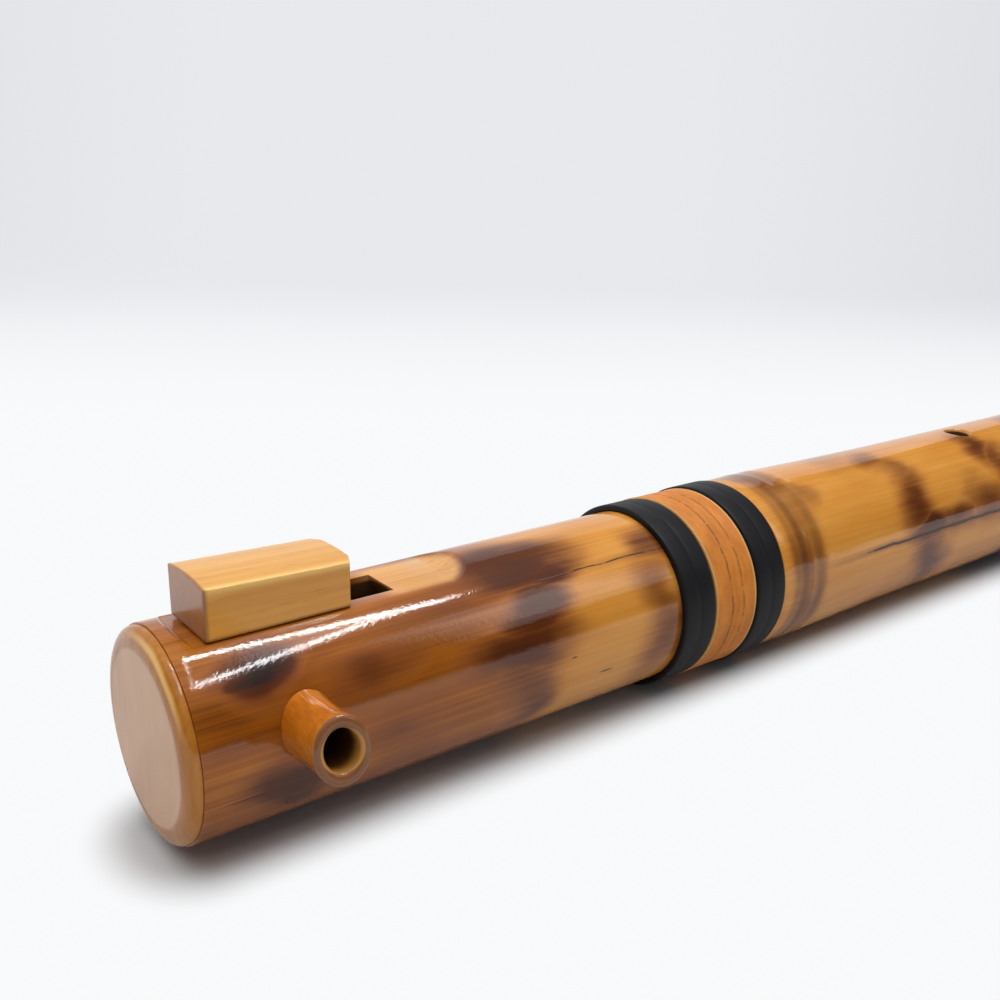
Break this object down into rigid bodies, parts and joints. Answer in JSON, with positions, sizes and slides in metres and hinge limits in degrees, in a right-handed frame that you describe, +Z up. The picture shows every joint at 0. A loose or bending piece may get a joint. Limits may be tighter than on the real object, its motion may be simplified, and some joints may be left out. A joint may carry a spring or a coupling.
{
  "type": "native american flute",
  "caption": "Two-chamber bamboo flute with a carved block over the wind way, a side mouthpiece tube, finger holes and a banded joint that turns and pulls apart",
  "frame": {"origin": "centre of the cap's flat face, on the axis of the flute", "axes": "+X from the cap to the foot along the flute's axis, +Z up through the block, and the mouthpiece tube points to -Y"},
  "size_m": [0.72, 0.0751, 0.0659],
  "materials": {
    "lacquered_bamboo": "glossy lacquer over fire-burnt bamboo",
    "lacquered_wood": "glossy lacquered turned wood",
    "block_wood": "satin oiled hardwood",
    "plain_wood": "plain sanded wood",
    "cork": "waxed sheet cork",
    "black_rubber": "matte black elastic band",
    "tan_leather": "smooth tan leather with raw cut edges"
  },
  "bodies": {
    "head": {"end_cap": "lacquered_wood", "head_tube": "lacquered_bamboo", "block": "block_wood", "mouthpiece_tube": "lacquered_bamboo", "chamber_wall": "plain_wood", "head_band": "black_rubber", "leather_wrap": "tan_leather"},
    "sleeve": {"joint_sleeve": "plain_wood", "head_cork": "cork", "body_cork": "cork"},
    "body": {"body_tube": "lacquered_bamboo", "body_band": "black_rubber"}
  },
  "joints": [
    {"name": "joint_swivel", "type": "hinge", "parent": "head", "child": "sleeve", "pos_m": [0.1764, 0, 0], "axis": [1, 0, 0], "continuous": true},
    {"name": "joint_pull", "type": "slide", "parent": "sleeve", "child": "body", "axis": [1, 0, 0], "range_m": [0, 0.035]}
  ]
}
